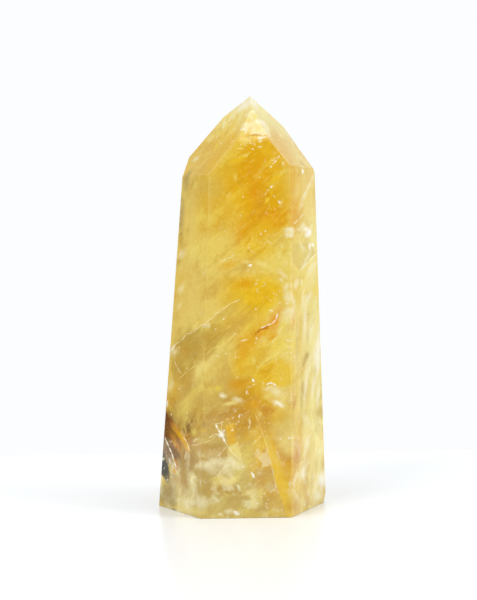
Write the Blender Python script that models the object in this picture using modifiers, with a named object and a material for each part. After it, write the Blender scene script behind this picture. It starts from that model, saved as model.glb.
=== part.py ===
"""Golden healer quartz point: one quartz crystal, ground and polished to a six-sided tower.

The tower stands upright on its sawn base, which lies in the plane z = 0 with its middle at
the origin. The widest front face looks towards -Y. Lengths are in metres, angles in degrees.

The shape is made the way the real one is: a rough block is ground flat, one plane after
another, until six long faces and six tip faces are left. Then the ridges are eased a little
and the few small chips are knocked out.
"""

import math
from typing import NamedTuple

import bmesh
import bpy
from mathutils import Vector

MM = 0.001

NODE_NAME = "quartz_point"
COLLECTION_NAME = "golden_healer_quartz_point"

HEIGHT = 140.0 * MM
BLANK_WIDTH = 90.0 * MM             # the rough block that the tower is ground from
TIP_X = 2.0 * MM                    # where the sharp tip stands over the base
TIP_Y = -4.7 * MM

RIDGE_EASING = 0.2 * MM             # width of the polished strip along every ridge
RIDGE_STEPS = 2


class LongFace(NamedTuple):
    """A face of the shaft. It leans in towards the top, so the tower tapers."""
    bearing: float                  # which way it looks: 0 is the front, 90 the right
    lean: float                     # how far it leans back from upright
    reach: float                    # how far it lies from the middle of the base, at the base


class TipFace(NamedTuple):
    """A face of the pointed tip."""
    bearing: float
    lean: float
    miss: float                     # how far above the sharp tip its plane passes


class Chip(NamedTuple):
    """A shallow shell-shaped break on a ridge, left by a round cutter."""
    place: tuple                    # a point on the ridge
    outward: tuple                  # the way out of the stone there
    radius: float
    depth: float


LONG_FACES = {
    "front": LongFace(bearing=0.0, lean=2.5, reach=25.3 * MM),
    "front_right": LongFace(bearing=61.6, lean=1.3, reach=24.6 * MM),
    "back_right": LongFace(bearing=122.2, lean=2.7, reach=25.8 * MM),
    "back": LongFace(bearing=180.0, lean=2.3, reach=25.3 * MM),
    "back_left": LongFace(bearing=253.0, lean=4.5, reach=27.4 * MM),
    "front_left": LongFace(bearing=299.2, lean=2.7, reach=26.2 * MM),
}

TIP_FACES = {
    "tip_front": TipFace(bearing=358.2, lean=36.0, miss=4.7 * MM),
    "tip_front_right": TipFace(bearing=62.0, lean=36.5, miss=0.0),
    "tip_back_right": TipFace(bearing=110.1, lean=28.1, miss=16.4 * MM),
    "tip_back": TipFace(bearing=179.4, lean=38.8, miss=0.0),
    "tip_back_left": TipFace(bearing=242.2, lean=37.4, miss=6.7 * MM),
    "tip_front_left": TipFace(bearing=299.5, lean=36.5, miss=0.0),
}

CHIPS = {
    "right_base_corner": Chip(
        place=(29.1 * MM, 2.2 * MM, 1.0 * MM), outward=(1.0, 0.0, -0.25), radius=9.0 * MM, depth=0.9 * MM
    ),
    "left_base_edge": Chip(
        place=(-24.0 * MM, -10.8 * MM, 0.0), outward=(-0.7, -0.4, -0.6), radius=3.0 * MM, depth=0.5 * MM
    ),
    "right_tip_ridge": Chip(
        place=(19.4 * MM, 0.4 * MM, 122.6 * MM), outward=(0.8, 0.1, 0.6), radius=1.6 * MM, depth=0.4 * MM
    ),
    "back_base_corner": Chip(
        place=(14.6 * MM, 25.3 * MM, 0.0), outward=(0.5, 0.7, -0.5), radius=4.0 * MM, depth=0.6 * MM
    ),
}

GOLD_COLOUR = (0.76, 0.49, 0.10, 1.0)
QUARTZ_ROUGHNESS = 0.12
QUARTZ_IOR = 1.544


def outward_normal(bearing, lean):
    """The way a face looks, from its compass bearing and its lean."""
    turn = math.radians(bearing)
    tilt = math.radians(lean)
    level = math.cos(tilt)
    return Vector((math.sin(turn) * level, -math.cos(turn) * level, math.sin(tilt)))


def point_on_long_face(face):
    turn = math.radians(face.bearing)
    return Vector((math.sin(turn) * face.reach, -math.cos(turn) * face.reach, 0.0))


def point_on_tip_face(face):
    return Vector((TIP_X, TIP_Y, HEIGHT + face.miss))


def grind(mesh, point, normal):
    """Cut off what stands out past the plane, and close the cut with one flat face."""
    cut = bmesh.ops.bisect_plane(
        mesh,
        geom=mesh.verts[:] + mesh.edges[:] + mesh.faces[:],
        dist=1e-7,
        plane_co=point,
        plane_no=normal,
        clear_outer=True,
    )
    rim = [item for item in cut["geom_cut"] if isinstance(item, bmesh.types.BMEdge)]
    bmesh.ops.contextual_create(mesh, geom=rim)


def make_tower():
    """Grind the tower from a block whose underside is the sawn base."""
    mesh = bmesh.new()
    bmesh.ops.create_cube(mesh, size=1.0)
    block_height = HEIGHT * 1.2
    bmesh.ops.scale(mesh, vec=(BLANK_WIDTH, BLANK_WIDTH, block_height), verts=mesh.verts)
    bmesh.ops.translate(mesh, vec=(0.0, 0.0, block_height / 2), verts=mesh.verts)
    for face in LONG_FACES.values():
        grind(mesh, point_on_long_face(face), outward_normal(face.bearing, face.lean))
    for face in TIP_FACES.values():
        grind(mesh, point_on_tip_face(face), outward_normal(face.bearing, face.lean))
    bmesh.ops.recalc_face_normals(mesh, faces=mesh.faces)

    data = bpy.data.meshes.new(NODE_NAME)
    mesh.to_mesh(data)
    mesh.free()
    return bpy.data.objects.new(NODE_NAME, data)


def ease_ridges(tower):
    """Round every ridge by the little that polishing takes off."""
    bevel = tower.modifiers.new("eased_ridges", "BEVEL")
    bevel.width = RIDGE_EASING
    bevel.segments = RIDGE_STEPS
    bevel.limit_method = "ANGLE"
    bevel.angle_limit = math.radians(5)


def make_chip_cutter(name, chip, cutters):
    """A ball that reaches into the ridge by the chip's depth."""
    outward = Vector(chip.outward).normalized()
    centre = Vector(chip.place) + outward * (chip.radius - chip.depth)
    mesh = bmesh.new()
    bmesh.ops.create_icosphere(mesh, subdivisions=4, radius=chip.radius)
    data = bpy.data.meshes.new(name)
    mesh.to_mesh(data)
    mesh.free()
    cutter = bpy.data.objects.new(name, data)
    cutter.location = centre
    cutter.hide_render = True
    cutter.display_type = "WIRE"
    cutters.objects.link(cutter)
    return cutter


def knock_out_chips(tower, cutters):
    for name, chip in CHIPS.items():
        cut = tower.modifiers.new(name, "BOOLEAN")
        cut.operation = "DIFFERENCE"
        cut.solver = "EXACT"
        cut.object = make_chip_cutter(name, chip, cutters)


def golden_quartz():
    material = bpy.data.materials.new("golden_quartz")
    material.use_nodes = True
    surface = material.node_tree.nodes["Principled BSDF"]
    surface.inputs["Base Color"].default_value = GOLD_COLOUR
    surface.inputs["Roughness"].default_value = QUARTZ_ROUGHNESS
    surface.inputs["IOR"].default_value = QUARTZ_IOR
    surface.inputs["Metallic"].default_value = 0.0
    surface.inputs["Transmission Weight"].default_value = 0.3
    return material


def new_collection(name):
    collection = bpy.data.collections.new(name)
    bpy.context.scene.collection.children.link(collection)
    return collection


def clear_scene():
    for thing in list(bpy.data.objects):
        bpy.data.objects.remove(thing, do_unlink=True)


def main():
    clear_scene()
    parts = new_collection(COLLECTION_NAME)
    cutters = new_collection("cutters")
    tower = make_tower()
    parts.objects.link(tower)
    ease_ridges(tower)
    knock_out_chips(tower, cutters)
    tower.data.materials.append(golden_quartz())


main()
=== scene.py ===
"""The looks of the golden healer quartz point: its stone, the studio and the camera."""
import math
from typing import NamedTuple

import bpy
from mathutils import Euler, Matrix, Vector

MM = 0.001

# The camera, as the photograph was taken: a normal lens, a little above the middle of the stone.
PHOTO_WIDTH = 477
PHOTO_HEIGHT = 600
VIEW_ANGLE = math.radians(24.0)          # from the top of the picture to its bottom
CAMERA_PLACE = Vector((-33.5, -484.0, 91.8)) * MM
CAMERA_TURN = math.radians(-3.77)
CAMERA_DIP = math.radians(2.5)
CAMERA_ROTATION = Euler((math.pi / 2 - CAMERA_DIP, 0.0, CAMERA_TURN))
CAMERA_AXES = CAMERA_ROTATION.to_matrix()
# How far apart the sight lines of two neighbouring pixels are, a metre in front of the camera.
PIXEL_SLOPE = math.tan(VIEW_ANGLE / 2) / (PHOTO_HEIGHT / 2)


class DarkPart(NamedTuple):
    """A part of the room that is darker than the white walls."""
    towards: tuple                  # its direction from the stone
    core: float                     # how far from there it is fully dark, in degrees
    rim: float                      # how far it reaches, in degrees
    tint: tuple


class Lamp(NamedTuple):
    """A square soft light."""
    name: str
    place: tuple
    target_height: float            # where on the stone's axis it points
    side: float                     # how long its sides are
    power: float                    # in watts


# The studio.
ROOM_WHITE = (0.97, 0.985, 1.0, 1.0)
DARK_PARTS = (
    DarkPart((0.06, -0.99, 0.12), 22, 40, (0.10, 0.10, 0.10, 1.0)),       # behind the camera
    DarkPart((-0.85, 0.45, 0.25), 20, 50, (0.15, 0.15, 0.15, 1.0)),       # left of the stone
    DarkPart((0.75, 0.62, 0.20), 12, 34, (0.50, 0.50, 0.50, 1.0)),        # right of the stone
)
LAMPS = (
    Lamp("key", (-0.65, -0.65, 0.8), 50 * MM, 500 * MM, 5.4),
    Lamp("fill", (0.9, -0.35, 0.5), 50 * MM, 600 * MM, 6.1),
    Lamp("side", (-0.95, -0.12, 0.45), 80 * MM, 500 * MM, 2.4),
)
TABLE_BACK_EDGE = 116 * MM
TABLE_FRONT_EDGE = -1500 * MM
TABLE_HALF_WIDTH = 1500 * MM
TABLE_WHITE = (0.86, 0.88, 0.90, 1.0)
TABLE_ROUGHNESS = 0.25

# The quartz between its clouds.
QUARTZ_IOR = 1.544
QUARTZ_ROUGHNESS = 0.06                  # of its polished faces
CLEAR_SHARE = 0.2                        # how much of the light goes through instead of being scattered
DEPTH_TINT = (1.0, 0.80, 0.36, 1.0)      # the light that the clear quartz lets through
DEPTH_DENSITY = 12.0                     # how fast the rest is absorbed, per metre

# How the clouds, cracks and flecks lie in it.
FLAW_DEPTH = 1.5 * MM                    # of cracks, flecks and small clouds, under the faces
CLOUD_DEPTH = 5 * MM                     # of broad clouds
SHARD_THICKNESS = 5 * MM
CRACK_OVERLAP = 1.25                     # how much longer a run of a crack is than the way between its ends
CRACK_SOFTNESS = 0.7
MIRROR_SLIDE = 4 * MM                    # how much lower mirrored clouds lie, so as not to look mirrored
SMALL_TRIANGLE = 30 * MM * MM            # triangles under this belong to bevels and chips
SMALL_FACET = 100 * MM * MM              # faces under this are chips
SAME_FACE = 0.99                         # how nearly a point looks the way that its face does, as a cosine
FACE_LIGHT_START = 0.985                       # the same for a face's painted light, where its tint starts
FACE_LIGHT_FULL = 0.995                        # and where it is full
STREAK_SLOPE = math.radians(42)          # of the healed fractures, which rise to the right
STREAK_STRETCH = (4.0, 1.5, 1.0)         # how far they are drawn out along the slope, in depth and across
STRETCH = 30                             # marks in a row before the next ones wait for them
TRACE = 1e-9                             # too little of a colour to move a place


def srgb(red, green, blue):
    """A colour given as screen values from 0 to 255, as linear light."""
    def linear(value):
        value /= 255
        return value / 12.92 if value <= 0.04045 else ((value + 0.055) / 1.055) ** 2.4
    return (linear(red), linear(green), linear(blue), 1.0)


# The stone's colours.
GOLD = srgb(218, 174, 46)
STRAW = srgb(224, 194, 98)
WHEAT = srgb(232, 207, 102)
LEMON = srgb(238, 208, 66)
YOLK = srgb(232, 190, 34)
HONEY = srgb(224, 172, 18)
ORANGE = srgb(222, 158, 10)
FLAME = srgb(226, 142, 14)
AMBER = srgb(200, 138, 24)
RUST = srgb(190, 104, 14)
UMBER = srgb(112, 66, 18)
SMOKE = srgb(52, 50, 38)
ASH = srgb(142, 120, 86)
OLIVE = srgb(192, 158, 66)
MOSS = srgb(170, 144, 74)
SAND = srgb(206, 175, 84)
TAN = srgb(192, 154, 74)
DUN = srgb(194, 168, 90)
BRONZE = srgb(162, 124, 48)
BRASS = srgb(190, 138, 14)
PEACH = srgb(232, 199, 110)
APRICOT = srgb(255, 206, 110)
IVORY = srgb(240, 227, 146)
PALE = srgb(238, 217, 128)
CREAM = srgb(244, 234, 184)
MILK = srgb(250, 243, 214)
WHITE = srgb(255, 254, 244)
LIGHTENED = (0.42, 0.37, 0.07, 1.0)      # screened over a colour where the stone is milkier
DEEPENED = (0.74, 0.58, 0.30, 1.0)       # multiplied into a colour where the stone is denser


class Mark(NamedTuple):
    """A patch of colour in the stone, lens-shaped, a little under the face that it shows through."""
    x: float                        # where it shows in the photograph, in its pixels
    y: float
    long: float                     # its length as seen from the camera, in millimetres
    wide: float                     # its width as seen from the camera, in millimetres
    tilt: float                     # how its length runs as seen from the camera: 0 level, 90 upright
    tint: tuple
    strength: float
    soft: float = 1.0               # how much of it fades out towards its rim


class Shard(NamedTuple):
    """A flat piece with straight edges: the inside of the stone seen through a fracture."""
    corners: tuple                  # in the photograph, clockwise as seen there
    tint: tuple
    strength: float
    soft: tuple                     # how far each edge fades, in millimetres, from the first corner on


class LitFace(NamedTuple):
    """A whole face painted a little paler or darker than its neighbours: painted light, for the light that
    falls on that face.
    """
    at: tuple                       # a pixel of the photograph on that face
    tint: tuple
    strength: float


class Crack(NamedTuple):
    """A thin line where a fracture inside the stone catches the light."""
    path: tuple                     # the points that it runs through in the photograph
    wide: float                     # in millimetres
    tint: tuple
    strength: float


# A mark's row gives x, y, long, wide, tilt, tint, strength and, where it isn't 1, soft.
ZONES = [Mark(*row) for row in (
    # The whole left is straw-coloured, the right wheat and ivory.
    (192, 230, 80, 22, 88, STRAW, 0.9),
    (200, 270, 40, 26, 80, STRAW, 0.7),
    (186, 320, 44, 16, 88, STRAW, 0.7),
    (221, 205, 48, 20, 85, GOLD, 0.95),
    (262, 360, 56, 34, 80, GOLD, 0.95),
    (262, 330, 60, 22, 80, YOLK, 0.5),
    (298, 240, 90, 9, 89, WHEAT, 0.95),
    (298, 350, 70, 9, 89, PALE, 0.95),
    (313, 230, 80, 10, 88, IVORY, 0.95),
    (310, 190, 44, 12, 88, PEACH, 0.85),
    (315, 330, 80, 12, 88, IVORY, 0.95),
    (318, 430, 80, 13, 88, IVORY, 0.95),
    (299, 470, 50, 10, 88, WHEAT, 0.9),
    (309, 460, 24, 10, 88, STRAW, 0.7),
    # The tip: golden on its left, peach-coloured on its right.
    (213, 143, 16, 12, 50, GOLD, 0.9),
    (228, 128, 16, 9, 50, LEMON, 0.85),
    (244, 105, 13, 8, 50, IVORY, 0.9),
    (290, 142, 24, 14, 125, PEACH, 0.85),
    # The foot is clearer: sand, bronze and olive.
    (200, 425, 34, 36, 60, TAN, 0.7),
    (228, 480, 50, 36, 0, DUN, 0.9),
    (204, 490, 30, 22, 80, DUN, 0.9),
    (256, 490, 34, 26, 60, DUN, 0.7),
    (190, 385, 34, 16, 80, TAN, 0.7),
    (182, 448, 40, 17, 95, BRONZE, 0.8),
)]

BROAD_CLOUDS = [Mark(*row) for row in (
    # The orange cloud of the upper half.
    (260, 168, 38, 28, 85, HONEY, 1, 0.7),
    (262, 205, 34, 30, 70, HONEY, 1, 0.7),
    (252, 150, 24, 11, 0, HONEY, 0.9, 0.8),
    (253, 180, 26, 15, 95, ORANGE, 1),
    (256, 200, 16, 14, 90, ORANGE, 0.8),
    (272, 217, 26, 14, 22, ORANGE, 0.9),
    (270, 214, 12, 5, 35, FLAME, 0.3),
    (244, 233, 15, 10, 60, ORANGE, 0.9),
    (264, 232, 20, 12, 20, HONEY, 0.8),
    (250, 250, 22, 12, 10, YOLK, 0.7),
    (266, 252, 18, 9, 20, YOLK, 0.7),
    (228, 160, 16, 12, 40, GOLD, 0.7),
    (240, 192, 20, 12, 90, HONEY, 0.8),
    # The pale clouds on the left.
    (203, 250, 15.6, 14, 15, WHEAT, 0.6),
    (192, 200, 20, 8.4, 70, SAND, 0.4),
    (219, 240, 14, 8, 40, WHEAT, 0.5),
    (196, 175, 16, 9.6, 50, SAND, 0.5),
    # The honey cloud of the middle.
    (259, 294, 34, 20, 170, YOLK, 1, 0.7),
    (264, 296, 22, 12, 170, HONEY, 0.6),
    (245, 283, 12, 8, 20, ORANGE, 0.8),
    (232, 300, 14, 8, 20, GOLD, 0.7),
    (272, 262, 14, 8, 10, WHEAT, 0.7),
    (286, 262, 14, 12, 80, WHEAT, 0.8),
    (288, 305, 22, 12, 80, WHEAT, 0.9),
    (296, 318, 14, 6, 70, PALE, 0.5),
    (312, 272, 14, 7.2, 80, CREAM, 0.7),
    # Orange streaming down from the red streak.
    (245, 347, 16, 11, 75, ORANGE, 0.7),
    (240, 362, 10, 10, 80, HONEY, 0.7),
    (263, 333, 22, 7, 30, ORANGE, 0.9),
    (279, 321, 13, 6, 72, FLAME, 0.7),
    (280, 345, 16, 12, 30, LEMON, 0.6),
    (238, 382, 14, 7, 15, ORANGE, 0.8),
    (252, 398, 18, 14, 60, HONEY, 0.9),
    # The olive hollow under the long crack, and the pale band across it.
    (189, 347, 13.2, 16, 30, OLIVE, 1, 0.7),
    (184, 366, 14, 10.8, 60, OLIVE, 0.9, 0.8),
    (210, 338, 16, 6, 25, OLIVE, 0.7),
    (224, 322, 20, 8, 30, GOLD, 0.6),
    (215, 362, 20, 12, 60, STRAW, 0.6),
    (212, 400, 18, 14, 60, SAND, 0.9),
    (200, 385, 32, 4.8, 52, WHEAT, 0.7),
    # Gold running down towards the right of the foot.
    (250, 412, 24, 18, 20, BRASS, 1, 0.8),
    (252, 430, 18, 20, 80, BRASS, 0.9, 0.8),
    (240, 422, 14, 10, 20, HONEY, 0.7),
    (246, 418, 34, 16, 175, BRASS, 0.8, 0.8),
    (254, 436, 22, 14, 100, BRASS, 0.7, 0.8),
    (250, 430, 18, 10, 85, BRASS, 0.8, 0.9),
    (268, 430, 44, 22, 100, HONEY, 0.7, 0.8),
    (266, 470, 30, 12, 100, HONEY, 0.8),
    (282, 480, 16, 30, 90, HONEY, 0.6),
    (284, 466, 8, 7, 90, ORANGE, 0.6),
    (283, 428, 16, 12, 80, PEACH, 0.5),
    (297, 455, 20, 6, 88, AMBER, 0.5),
    (292, 506, 10, 14, 0, AMBER, 0.4),
    # The dark corner at the lower left.
    (172, 425, 14, 8.4, 100, OLIVE, 0.7),
    (167, 426, 17, 9.6, 95, UMBER, 1, 0.8),
    (168, 446, 20, 9.6, 100, BRONZE, 0.9),
    (168, 452, 14, 7.2, 100, UMBER, 0.6),
    (168, 494, 13, 10.2, 80, MOSS, 1, 0.8),
    (180, 440, 14, 7.2, 120, AMBER, 0.9),
    (210, 450, 26, 10, 5, SAND, 0.7),
    (222, 492, 14, 8, 10, OLIVE, 0.7),
)]

# Painted light: the two tip faces are each painted paler as a whole, for the light that falls on them.
PAINTED_FACE_LIGHT = [
    LitFace((285, 145), CREAM, 0.16),          # the right tip face
    LitFace((222, 140), APRICOT, 0.15),        # the left tip face
]

SHARDS = [Shard(*row) for row in (
    # The bright disc and strip under the tip, cut off straight on their right.
    (((250, 123), (257, 118.5), (266, 118.5), (268.3, 134), (262, 136), (251, 134)), CREAM, 0.7,
     (2, 1.2, 0.2, 0.5, 1, 2.4)),
    (((257.5, 137), (263, 136.2), (269.3, 137), (270, 140), (261, 139.6), (258, 141)), MILK, 0.7,
     (0.4, 0.3, 0.2, 0.3, 0.4, 0.5)),
    # The clear window at the top of the right face and the bright stone under it.
    (((293, 243), (309, 244), (316, 252), (301, 271), (292, 262)), SAND, 0.45, (1.4, 0.8, 0.3, 0.4, 1.2)),
    (((318, 254), (319.5, 296), (302, 298), (300.5, 272)), LEMON, 0.4, (0.8, 3, 1.5, 0.3)),
    # The golden wedge and the pale lump under it.
    (((255.5, 372), (269, 361), (279, 356), (292, 365), (293, 382), (282, 389), (268, 384), (255, 381)),
     YOLK, 0.75, (0.8, 3, 3, 2.6, 2, 1.5, 1, 0.5)),
    (((256, 376), (268, 363), (276, 362), (268, 382)), HONEY, 0.8, (0.4, 1.5, 3, 3)),
    (((261, 390), (270, 386), (290, 391), (289, 401), (282, 408), (268, 402)), PEACH, 0.5,
     (2, 1.2, 2, 0.8, 0.4, 2)),
    (((268, 417), (290, 413), (293, 436), (280, 444), (268, 424)), SAND, 0.45, (0.6, 1.5, 2, 1.5, 0.4)),
    # The amber root of the golden band, and the band itself.
    (((258, 405), (277, 409), (271, 418), (265, 421)), AMBER, 0.75, (2, 1, 1.6, 1.2)),
    (((254, 409), (262, 411), (275, 446), (290, 484), (291, 517), (279, 517), (268, 455)), YOLK, 0.8,
     (0.6, 1.5, 3, 3, 1, 0.2, 0.3)),
    (((256, 409), (262, 412), (269, 434), (273, 452), (268, 447), (261, 428)), STRAW, 0.5,
     (0.4, 0.4, 0.4, 0.4, 0.3, 0.3)),
    (((279, 461), (291, 462), (291, 480), (280, 480)), HONEY, 0.6, (2, 1, 2.4, 2)),
    # Pale and sandy blocks in the foot.
    (((229, 447), (238, 441.5), (241.5, 458), (231, 455)), PALE, 0.7, (0.5, 0.4, 1.6, 0.9)),
    (((241, 442), (253, 440), (257, 466), (243, 464)), SAND, 0.6, (1.8, 0.8, 2.4, 0.8)),
    (((255, 468), (273, 468), (276, 489), (250, 492)), TAN, 0.7, (1.6, 0.3, 1.2, 1)),
    (((226, 426), (234, 423), (236, 443), (228, 445)), HONEY, 0.9, (0.5, 0.8, 0.8, 0.3)),
    (((200, 446), (225, 444), (229, 458), (206, 462)), TAN, 0.55, (0.3, 0.6, 2, 1)),
    (((250, 494), (262, 488), (263, 505), (252, 512)), PALE, 0.35, (0.6, 0.3, 1, 1.4)),
    # The olive hollow, cut off straight by the long crack on both faces.
    (((169, 349), (209, 321), (209, 339), (196, 352), (184, 374), (171, 372)), OLIVE, 0.6,
     (0.5, 0.3, 5, 5, 4, 3)),
    (((209, 321), (240, 297), (243, 304), (230, 320), (209, 338)), OLIVE, 0.35, (0.5, 4, 5, 5, 0.3)),
    # The pale diagonal veils over the lower left.
    (((180, 417), (172, 402), (196, 372), (222, 343), (240, 330), (230, 348), (212, 368), (196, 392)),
     PALE, 0.7, (2, 2, 3, 3, 3, 3, 3, 4)),
    (((166, 478), (172, 472), (182, 488), (195, 518), (186, 518), (176, 500)), CREAM, 0.25,
     (1.6, 2, 2.6, 2, 1.6, 2)),
    (((186, 472), (193, 470), (200, 502), (192, 505)), CREAM, 0.35, (2, 2, 2, 2)),
)]

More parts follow.
